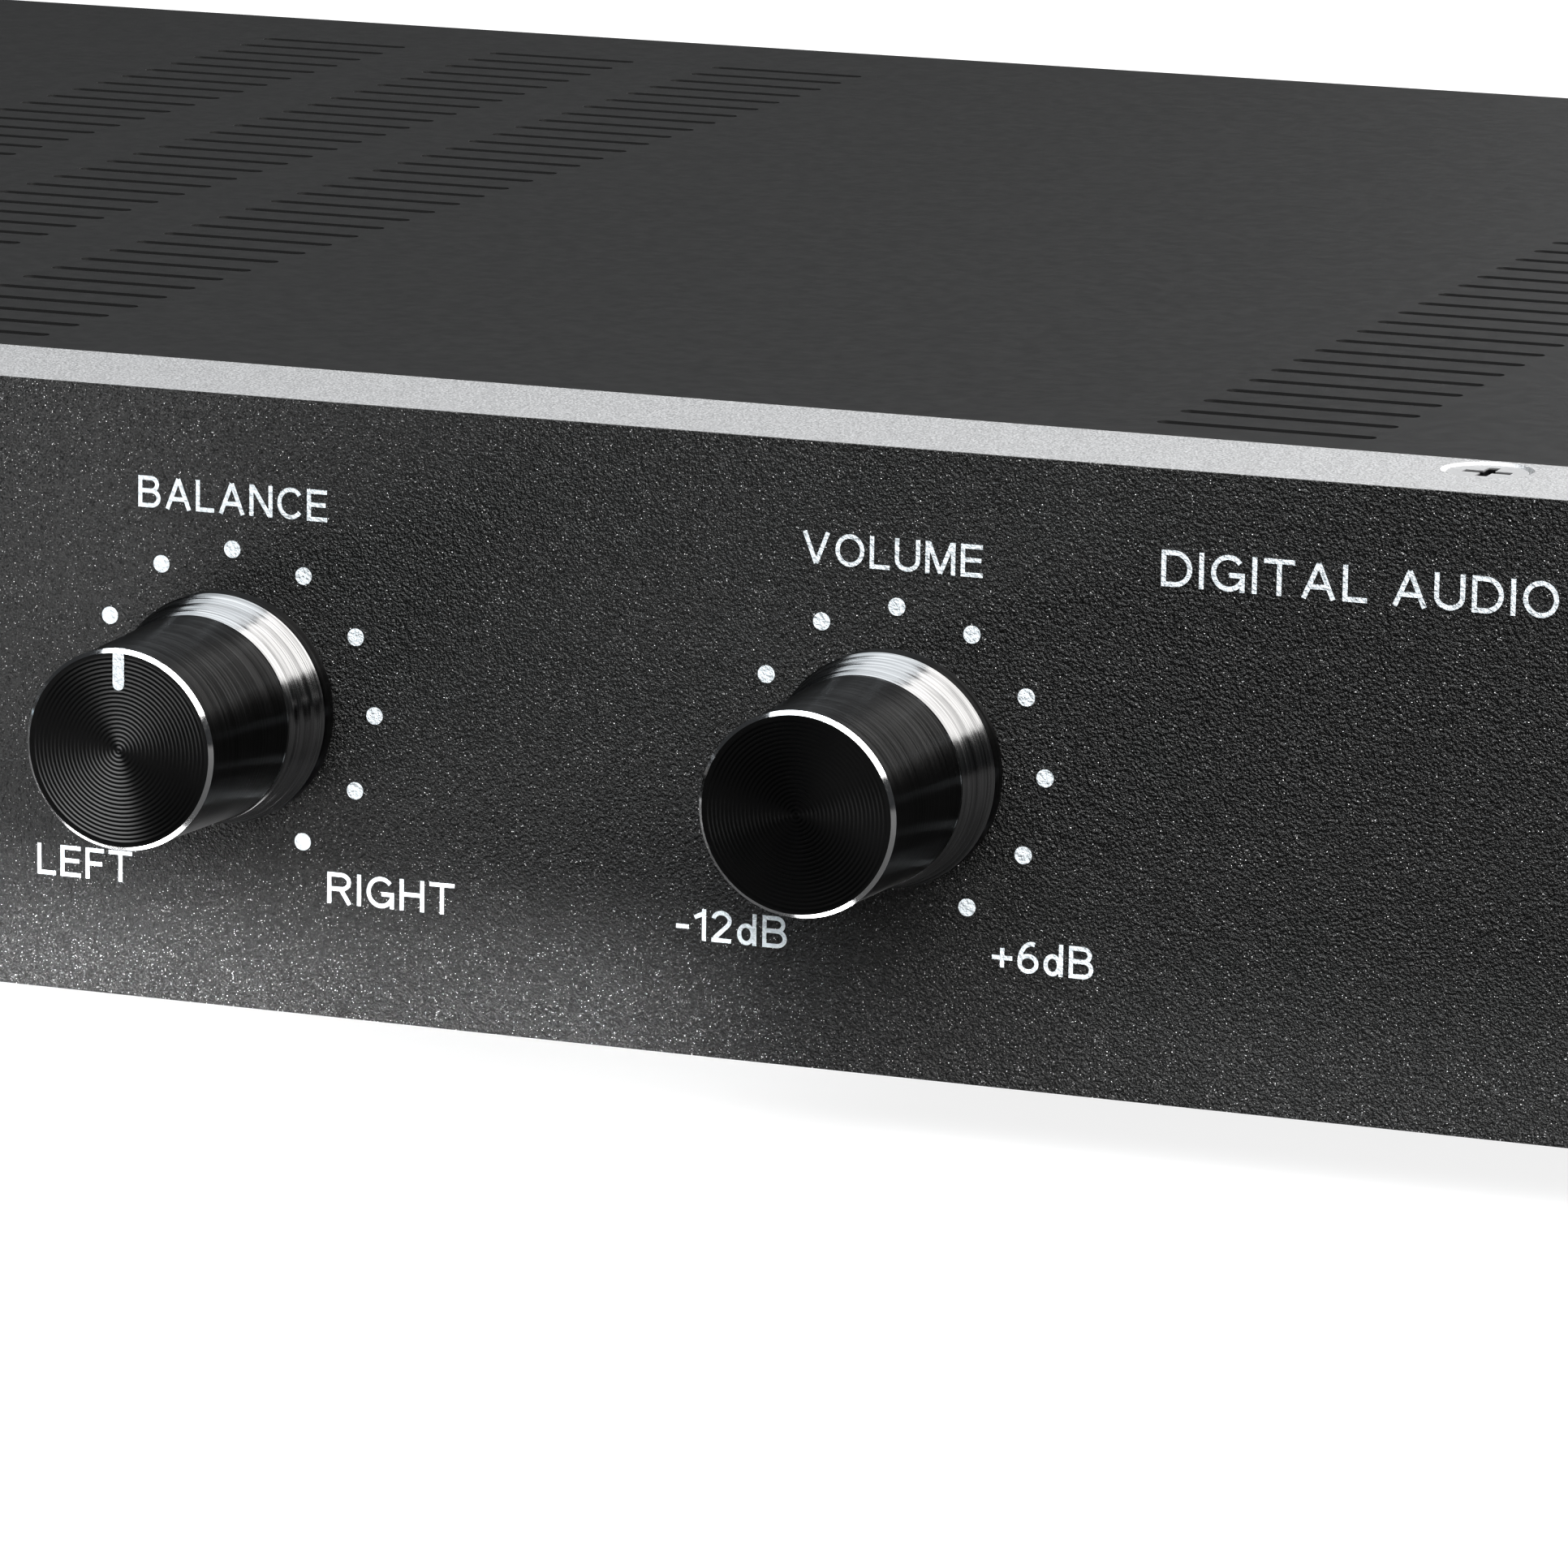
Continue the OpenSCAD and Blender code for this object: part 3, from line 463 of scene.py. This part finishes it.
def turned_mesh(name, section, centre, materials):
    """A section spun about the line through centre that runs from front to rear."""
    turns = [2 * math.pi * k / KNOB_SIDES for k in range(KNOB_SIDES)]
    bm = bmesh.new()
    rings = []
    for (d, r), _ in section:
        y = centre.y - d * MM
        if r == 0:
            rings.append([bm.verts.new((centre.x, y, centre.z))])
            continue
        rings.append([
            bm.verts.new((centre.x + r * MM * math.sin(turn), y, centre.z + r * MM * math.cos(turn)))
            for turn in turns
        ])
    for (ring, after), (_, material) in zip(zip(rings, rings[1:]), section):
        for k in range(KNOB_SIDES):
            j = (k + 1) % KNOB_SIDES
            if len(ring) == 1:
                corners = (ring[0], after[k], after[j])
            elif len(after) == 1:
                corners = (ring[k], after[0], ring[j])
            else:
                corners = (ring[k], after[k], after[j], ring[j])
            face = bm.faces.new(corners)
            face.material_index = material
            face.smooth = True
    bmesh.ops.recalc_face_normals(bm, faces=bm.faces)
    mesh = bpy.data.meshes.new(name)
    bm.to_mesh(mesh)
    bm.free()
    for material in materials:
        mesh.materials.append(material)
    mesh.set_sharp_from_angle(angle=KNOB_SHARP)
    return mesh


def make_knob(name, node, body, centre, materials):
    """A finely turned knob that stands for the CAD one."""
    low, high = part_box(node)
    reach = (FRONT_Y - low.y) / MM - POINTER_T
    gap = (FRONT_Y - high.y) / MM
    section = knob_section(reach, gap, (high.x - low.x) / 2 / MM)
    knob = bpy.data.objects.new(name, turned_mesh(name, section, centre, materials))
    bpy.context.scene.collection.objects.link(knob)
    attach(knob, body)
    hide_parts(node)


def make_knobs():
    """Both knobs, in the same four finishes: body, edge, flare and face."""
    materials = (
        turned_black("turned_body", shade=0.034, rough=0.34, anisotropy=0.95, groove_mm=0.2),
        cut_metal("cut_edge"),
        turned_black("turned_flare", shade=0.15, rough=0.16, anisotropy=0.0, groove_mm=0.2),
        turned_black("turned_face", shade=0.045, rough=0.30, anisotropy=0.5, groove_mm=0.3),
    )
    make_knob("turned_balance_knob", "balance_knob", "balance_control", BALANCE, materials)
    make_knob("turned_volume_knob", "volume_knob", "volume_control", VOLUME, materials)


# ---------------------------------------------------------------- print on the front

# Millimetres, with STROKE and LETTER_GAP in cap heights and DOT_TURN in degrees. Rise and drop are from the
# knobs' axis to the foot of the letters.
INK_T = 0.02
INK_STEP = 0.0004
INK_LAYERS = 8
STROKE = 0.135
LETTER_GAP = 0.15
DOT_RING_R = 11
DOT_R = 0.625
DOT_TURN = 30
DOTS_EACH_SIDE = 5
LEGEND_RISE = 13.5
LEGEND_DROP = 13.75
LEGEND_CAP = 2.25
KIND_RISE, KIND_CAP = 14, 2.5


def new_piece(name, vertices, faces, material, body):
    """A piece from corners in millimetres, with flat faces that all point outwards."""
    mesh = bpy.data.meshes.new(name)
    bm = bmesh.new()
    made = [bm.verts.new(Vector(v) * MM) for v in vertices]
    for face in faces:
        bm.faces.new([made[k] for k in face])
    bmesh.ops.recalc_face_normals(bm, faces=bm.faces)
    bm.to_mesh(mesh)
    bm.free()
    mesh.materials.append(material)
    piece = bpy.data.objects.new(name, mesh)
    bpy.context.scene.collection.objects.link(piece)
    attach(piece, body)


class Ink:
    """Thin closed solids on the front panel, in layers so slight that crossing strokes never coincide."""

    def __init__(self):
        self.vertices, self.faces, self.solids = [], [], 0

    def strip(self, rungs, closed=False):
        """A solid between pairs of (x, z) points, which are its rungs."""
        front = FRONT_Y / MM - INK_T - INK_STEP * (self.solids % INK_LAYERS)
        back = FRONT_Y / MM + INK_T
        self.solids += 1
        start = len(self.vertices)
        for (ax, az), (bx, bz) in rungs:
            self.vertices += [(ax, front, az), (bx, front, bz), (bx, back, bz), (ax, back, az)]
        count = len(rungs)
        for k in range(count if closed else count - 1):
            a, b = start + 4 * k, start + 4 * ((k + 1) % count)
            for side in range(4):
                after = (side + 1) % 4
                self.faces.append((a + side, a + after, b + after, b + side))
        if not closed:
            last = start + 4 * (count - 1)
            self.faces += [tuple(start + k for k in range(4)), tuple(last + k for k in (3, 2, 1, 0))]

    def disc(self, x, z, r, sides=32):
        """A round dot, as level rungs from its top to its bottom."""
        rungs = []
        for k in range(1, sides // 2):
            turn = 2 * math.pi * k / sides
            across, up = r * math.sin(turn), r * math.cos(turn)
            rungs.append(((x - across, z + up), (x + across, z + up)))
        self.strip(rungs)

    def stroke(self, path, half):
        """A line of even width along a path of (x, z) points."""
        closed = path[0] == path[-1]
        points = path[:-1] if closed else path
        count = len(points)
        rungs = []
        for k, (x, z) in enumerate(points):
            before = points[k - 1] if closed or k else points[k]
            after = points[(k + 1) % count] if closed or k < count - 1 else points[k]
            along = Vector((after[0] - before[0], after[1] - before[1])).normalized() * half
            rungs.append(((x - along.y, z + along.x), (x + along.y, z - along.x)))
        self.strip(rungs, closed)

    def piece(self, name, material):
        new_piece(name, self.vertices, self.faces, material, "case")


def arc(cx, cy, rx, ry, start, end, steps=14):
    """Points on an ellipse, from one angle to another, in degrees from the right."""
    turns = [math.radians(start + (end - start) * k / steps) for k in range(steps + 1)]
    return [(cx + rx * math.cos(t), cy + ry * math.sin(t)) for t in turns]


def ring(cx, cy, rx, ry):
    """A whole ellipse, closed."""
    points = arc(cx, cy, rx, ry, 0, 360, 28)
    return points[:-1] + points[:1]


def glyphs():
    """Plain capitals and figures: each has its width and its strokes, for a cap height of 1."""
    edge, top = STROKE / 2, 1 - STROKE / 2
    stem = [(edge, 0), (edge, 1)]
    return {
        " ": (0.3, []),
        "-": (0.38, [[(0, 0.4), (0.38, 0.4)]]),
        "+": (0.6, [[(0, 0.42), (0.6, 0.42)], [(0.3, 0.12), (0.3, 0.72)]]),
        "1": (0.36, [[(0.3, 0), (0.3, 1)], [(0.02, 0.72), (0.28, 0.86)]]),
        "2": (0.62, [arc(0.31, 0.7, 0.24, 0.235, 170, -40) + [(0.1, 0.12)], [(0.02, edge), (0.6, edge)]]),
        "6": (0.62, [ring(0.32, 0.31, 0.25, 0.24), arc(0.42, 0.36, 0.35, 0.57, 75, 180)]),
        "A": (0.86, [[(0.07, 0), (0.43, 0.97)], [(0.79, 0), (0.43, 0.97)], [(0.2, 0.33), (0.66, 0.33)]]),
        "B": (0.74, [stem, [(edge, top), (0.4, top)] + arc(0.42, 0.735, 0.2, 0.2, 90, -90) + [(edge, 0.535)],
                     [(edge, 0.53), (0.4, 0.53)] + arc(0.43, 0.298, 0.24, 0.232, 90, -90) + [(edge, edge)]]),
        "C": (0.82, [arc(0.44, 0.5, 0.37, 0.435, 38, 322, 24)]),
        "D": (0.78, [stem, [(edge, top), (0.3, top)] + arc(0.34, 0.5, 0.37, 0.432, 90, -90, 20)
                     + [(edge, edge)]]),
        "E": (0.66, [stem, [(edge, top), (0.65, top)], [(edge, 0.52), (0.61, 0.52)],
                     [(edge, edge), (0.66, edge)]]),
        "F": (0.6, [stem, [(edge, top), (0.6, top)], [(edge, 0.5), (0.54, 0.5)]]),
        "G": (0.86, [arc(0.44, 0.5, 0.37, 0.435, 40, 330, 24), [(0.46, 0.45), (0.84, 0.45)],
                     [(0.78, 0.45), (0.78, 0)]]),
        "H": (0.76, [stem, [(0.69, 0), (0.69, 1)], [(edge, 0.52), (0.69, 0.52)]]),
        "I": (0.14, [stem]),
        "L": (0.6, [stem, [(edge, edge), (0.6, edge)]]),
        "M": (0.9, [stem, [(0.83, 0), (0.83, 1)], [(0.1, 0.97), (0.45, 0.03)], [(0.8, 0.97), (0.45, 0.03)]]),
        "N": (0.76, [stem, [(0.69, 0), (0.69, 1)], [(0.1, 0.95), (0.66, 0.05)]]),
        "O": (0.88, [ring(0.44, 0.5, 0.37, 0.435)]),
        "P": (0.7, [stem, [(edge, top), (0.36, top)] + arc(0.38, 0.69, 0.25, 0.242, 90, -90)
                    + [(edge, 0.448)]]),
        "R": (0.76, [stem, [(edge, top), (0.38, top)] + arc(0.42, 0.705, 0.25, 0.228, 90, -90)
                     + [(edge, 0.477)], [(0.42, 0.47), (0.69, 0)]]),
        "S": (0.74, [arc(0.37, 0.715, 0.28, 0.218, 25, 270) + arc(0.37, 0.283, 0.3, 0.218, 90, -160)[1:]]),
        "T": (0.76, [[(0, top), (0.76, top)], [(0.38, 0), (0.38, top)]]),
        "U": (0.76, [[(edge, 1), (edge, 0.4)] + arc(0.38, 0.36, 0.312, 0.295, 180, 360)
                     + [(0.692, 0.4), (0.692, 1)]]),
        "V": (0.84, [[(0.07, 1), (0.42, 0.03)], [(0.77, 1), (0.42, 0.03)]]),
        "W": (1.14, [[(0.06, 1), (0.32, 0.03)], [(0.32, 0.03), (0.57, 0.97)],
                     [(0.57, 0.97), (0.82, 0.03)], [(0.82, 0.03), (1.08, 1)]]),
        "d": (0.6, [ring(0.27, 0.34, 0.2, 0.275), [(0.52, 0), (0.52, 1)]]),
    }


GLYPHS = glyphs()


def legend(name, text, left, right, low, cap, material):
    """Printed words between left and right, standing on low, with capitals cap high. Millimetres."""
    ink = Ink()
    width = sum(GLYPHS[letter][0] for letter in text) + LETTER_GAP * (len(text) - 1)
    across = (right - left) / width
    x = 0
    for letter in text:
        advance, strokes = GLYPHS[letter]
        for path in strokes:
            points = [(left + (x + px) * across, low + pz * cap) for px, pz in path]
            ink.stroke(points, STROKE / 2 * cap)
        x += advance + LETTER_GAP
    ink.piece(name, material)


def dot_ring(name, centre, material):
    """Printed dots at even turns round a knob, from its top, open at the bottom."""
    ink = Ink()
    for step in range(-DOTS_EACH_SIDE, DOTS_EACH_SIDE + 1):
        angle = math.radians(DOT_TURN * step)
        x = centre.x / MM + DOT_RING_R * math.sin(angle)
        z = centre.z / MM + DOT_RING_R * math.cos(angle)
        ink.disc(x, z, DOT_R)
    ink.piece(name, material)


def print_front():
    """Dots and words in white: over and under the knobs, at the right end, and over the other controls."""
    ink = white_ink("white_ink")
    dot_ring("balance_dots", BALANCE, ink)
    dot_ring("volume_dots", VOLUME, ink)
    x, axis_z = BALANCE.x / MM, BALANCE.z / MM
    high, low = axis_z + LEGEND_RISE, axis_z - LEGEND_DROP
    for name, text, left, right, foot, cap in (
        ("legend_balance", "BALANCE", -7.3, 7.3, high, LEGEND_CAP),
        ("legend_volume", "VOLUME", 43.0, 56.2, high, LEGEND_CAP),
        ("legend_left", "LEFT", -15.3, -7.8, low, LEGEND_CAP),
        ("legend_right", "RIGHT", 7.4, 17.2, low, LEGEND_CAP),
        ("legend_minus", "-12dB", 34.0, 42.3, low, LEGEND_CAP),
        ("legend_plus", "+6dB", 57.4, 64.8, low, LEGEND_CAP),
        ("legend_kind", "DIGITAL AUDIO", 69, 97, axis_z + KIND_RISE, KIND_CAP),
    ):
        legend(name, text, x + left, x + right, foot, cap, ink)
    for name, node, text, half in (
        ("legend_power", "power_button", "POWER", 5.6),
        ("legend_input", "input_button", "INPUT", 4.7),
        ("legend_phones", "headphone_nut", "PHONES", 6.7),
    ):
        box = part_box(node)
        middle = (box[0].x + box[1].x) / 2 / MM
        legend(name, text, middle - half, middle + half, high, LEGEND_CAP, ink)


# Millimetres: half the bar's width, how near the knob's axis its round end comes, and how deep it is let in.
POINTER_HALF = 0.42
POINTER_INNER_R = 4.2
POINTER_SUNK = 0.12


def make_pointer():
    """White bar let into the balance knob's face at twelve o'clock and carried over its bright edge."""
    half, front = POINTER_HALF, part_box("balance_knob")[0].y / MM
    x, z = BALANCE.x / MM, BALANCE.z / MM
    round_end = arc(0, POINTER_INNER_R + half, half, half, 0, -180, 10)
    outline = [(half, KNOB_FACE_R)] + round_end + [(-half, KNOB_FACE_R)]
    count = len(outline)
    vertices = [(x + px, front, z + pz) for px, pz in outline]
    vertices += [(x + px, front + POINTER_SUNK, z + pz) for px, pz in outline]
    faces = [tuple(range(count)), tuple(reversed(range(count, 2 * count)))]
    faces += [(k, (k + 1) % count, count + (k + 1) % count, count + k) for k in range(count)]
    # The bar's turn over the edge, as (depth behind its front, radius beyond the face).
    turned_over = [
        (0, -0.01), (EDGE_CUT, EDGE_CUT + POINTER_T), (EDGE_CUT + 0.15, EDGE_CUT - 0.1), (POINTER_SUNK, -0.2),
    ]
    start = len(vertices)
    for side in (-half, half):
        vertices += [(x + side, front + d, z + KNOB_FACE_R + r) for d, r in turned_over]
    faces += [tuple(start + k for k in range(4)), tuple(start + 4 + k for k in (3, 2, 1, 0))]
    for k in range(4):
        after = (k + 1) % 4
        faces.append((start + k, start + after, start + 4 + after, start + 4 + k))
    new_piece("balance_pointer", vertices, faces, white_ink("pointer_white"), "balance_control")


# ---------------------------------------------------------------- studio

UP = Vector((0, 0, 1))
NEUTRAL = (1, 1, 1)
COOL = (0.90, 0.96, 1.0)
WARM = (1.0, 0.985, 0.96)
FLOOR_HALF = 4.0
FLOOR_STEPS = 8
FLOOR_GLOW = 0.84
WORLD_LIGHT = 0.035
# What the large lights face, between the knobs.
STUDIO_MIDDLE = Vector((0.03, FRONT_Y - 0.015, 0.03))
# Glows lie just over the floor and face up. Bands stand a little farther out and face the front's foot, with
# a spread so narrow that their light stays low.
GLOW_Z = 0.002
GLOW_OUT = 0.023
KNOB_GLOW_OUT, KNOB_GLOW_LEFT = 0.015, 0.022
KNOB_GLOW_SPREAD = math.radians(50)
BAND_OUT = 0.030
BAND_Z, BAND_AIM_Z, BAND_HEIGHT = 0.005, 0.008, 0.006
BAND_SPREAD = math.radians(43)


def look_at(thing, target):
    thing.rotation_mode = "QUATERNION"
    thing.rotation_quaternion = (Vector(target) - thing.location).to_track_quat("-Z", "Y")


def softbox(name, place, target, width, height, power, tint=NEUTRAL, spread=math.pi):
    """A rectangle of light at place, facing target, that the camera itself doesn't see."""
    data = bpy.data.lights.new(name, "AREA")
    data.shape = "RECTANGLE"
    data.size = width
    data.size_y = height
    data.energy = power
    data.color = tint
    data.spread = spread
    light = bpy.data.objects.new(name, data)
    light.location = place
    look_at(light, target)
    light.visible_camera = False
    bpy.context.scene.collection.objects.link(light)


def make_floor():
    """Plain pale floor, one flat grid, near white to the camera and dark to the light it would throw back."""
    row, tile = FLOOR_STEPS + 1, 2 * FLOOR_HALF / FLOOR_STEPS
    vertices = [(-FLOOR_HALF + tile * i, -FLOOR_HALF + tile * j, 0) for j in range(row) for i in range(row)]
    faces = [
        (j * row + i, j * row + i + 1, (j + 1) * row + i + 1, (j + 1) * row + i)
        for j in range(FLOOR_STEPS) for i in range(FLOOR_STEPS)
    ]
    mesh = bpy.data.meshes.new("floor")
    mesh.from_pydata(vertices, [], faces)
    s = Shader("pale_floor").set(Roughness=0.9)
    seen = s.mix(s.noise(80, 2), gray(0.18), gray(0.19))
    by_camera = s.node("LightPath").outputs["Is Camera Ray"]
    s.color(s.mix(by_camera, gray(0.03), seen))
    s.set(Emission_Color=(1, 1, 1, 1))
    s.link(s.math("MULTIPLY", by_camera, FLOOR_GLOW), s.bsdf.inputs["Emission Strength"])
    mesh.materials.append(s.material)
    floor = bpy.data.objects.new("floor", mesh)
    bpy.context.scene.collection.objects.link(floor)


def make_world():
    """White to the camera, and a dim cool light on everything."""
    world = bpy.data.worlds.new("world")
    world.use_nodes = True
    tree = world.node_tree
    seen = tree.nodes["Background"]
    seen.inputs["Color"].default_value = (1, 1, 1, 1)
    lit = tree.nodes.new("ShaderNodeBackground")
    lit.inputs["Color"].default_value = (0.9, 0.95, 1, 1)
    lit.inputs["Strength"].default_value = WORLD_LIGHT
    path = tree.nodes.new("ShaderNodeLightPath")
    mix = tree.nodes.new("ShaderNodeMixShader")
    tree.links.new(path.outputs["Is Camera Ray"], mix.inputs["Fac"])
    tree.links.new(lit.outputs["Background"], mix.inputs[1])
    tree.links.new(seen.outputs["Background"], mix.inputs[2])
    tree.links.new(mix.outputs["Shader"], tree.nodes["World Output"].inputs["Surface"])
    bpy.context.scene.world = world


def soft_sun(name, towards, irradiance, width_degrees, glossy=True):
    """An even light over the whole floor, from a wide disc in the direction given."""
    data = bpy.data.lights.new(name, "SUN")
    data.energy = irradiance
    data.angle = math.radians(width_degrees)
    sun = bpy.data.objects.new(name, data)
    sun.location = Vector(towards)
    look_at(sun, (0, 0, 0))
    sun.visible_glossy = glossy
    bpy.context.scene.collection.objects.link(sun)


def make_studio():
    """Two suns, an arch of two large strips over the knobs, small lights at the front's foot, a rear card."""
    make_floor()
    make_world()
    soft_sun("front_light", (0.35, -0.72, 0.62), irradiance=4.2, width_degrees=30, glossy=False)
    soft_sun("top_light", (0.05, 0.1, 1.0), irradiance=1.0, width_degrees=60)
    middle = STUDIO_MIDDLE
    left = middle + Vector((-0.21, -0.12, 0.83))
    right = middle + Vector((0.50, -0.12, 0.61))
    softbox("left_strip", left, middle, width=0.60, height=0.66, power=5.2, tint=COOL)
    softbox("right_strip", right, middle, width=0.94, height=0.78, power=13.5, tint=WARM)
    place = Vector((-0.045, FRONT_Y - GLOW_OUT, GLOW_Z))
    softbox("floor_glow", place, place + UP, width=0.09, height=0.036, power=0.054)
    for name, x, width, power in (
        ("left_band", -0.035, 0.09, 0.050),
        ("middle_band", 0.026, 0.034, 0.013),
        ("right_band", 0.080, 0.076, 0.005),
    ):
        place = Vector((x, FRONT_Y - BAND_OUT, BAND_Z))
        target = Vector((x, 0, BAND_AIM_Z))
        softbox(name, place, target, width, BAND_HEIGHT, power, spread=BAND_SPREAD)
    for name, knob in (("balance_glow", BALANCE), ("volume_glow", VOLUME)):
        place = Vector((knob.x - KNOB_GLOW_LEFT, FRONT_Y - KNOB_GLOW_OUT, GLOW_Z))
        softbox(name, place, place + UP, width=0.060, height=0.012, power=0.003, spread=KNOB_GLOW_SPREAD)
    softbox("rear_card", (0.22, 0.62, 0.20), middle, width=0.45, height=0.3, power=3.0)
    bpy.context.scene.view_settings.view_transform = "Standard"


make_camera()
finish_frame()
make_knobs()
print_front()
make_pointer()
make_studio()
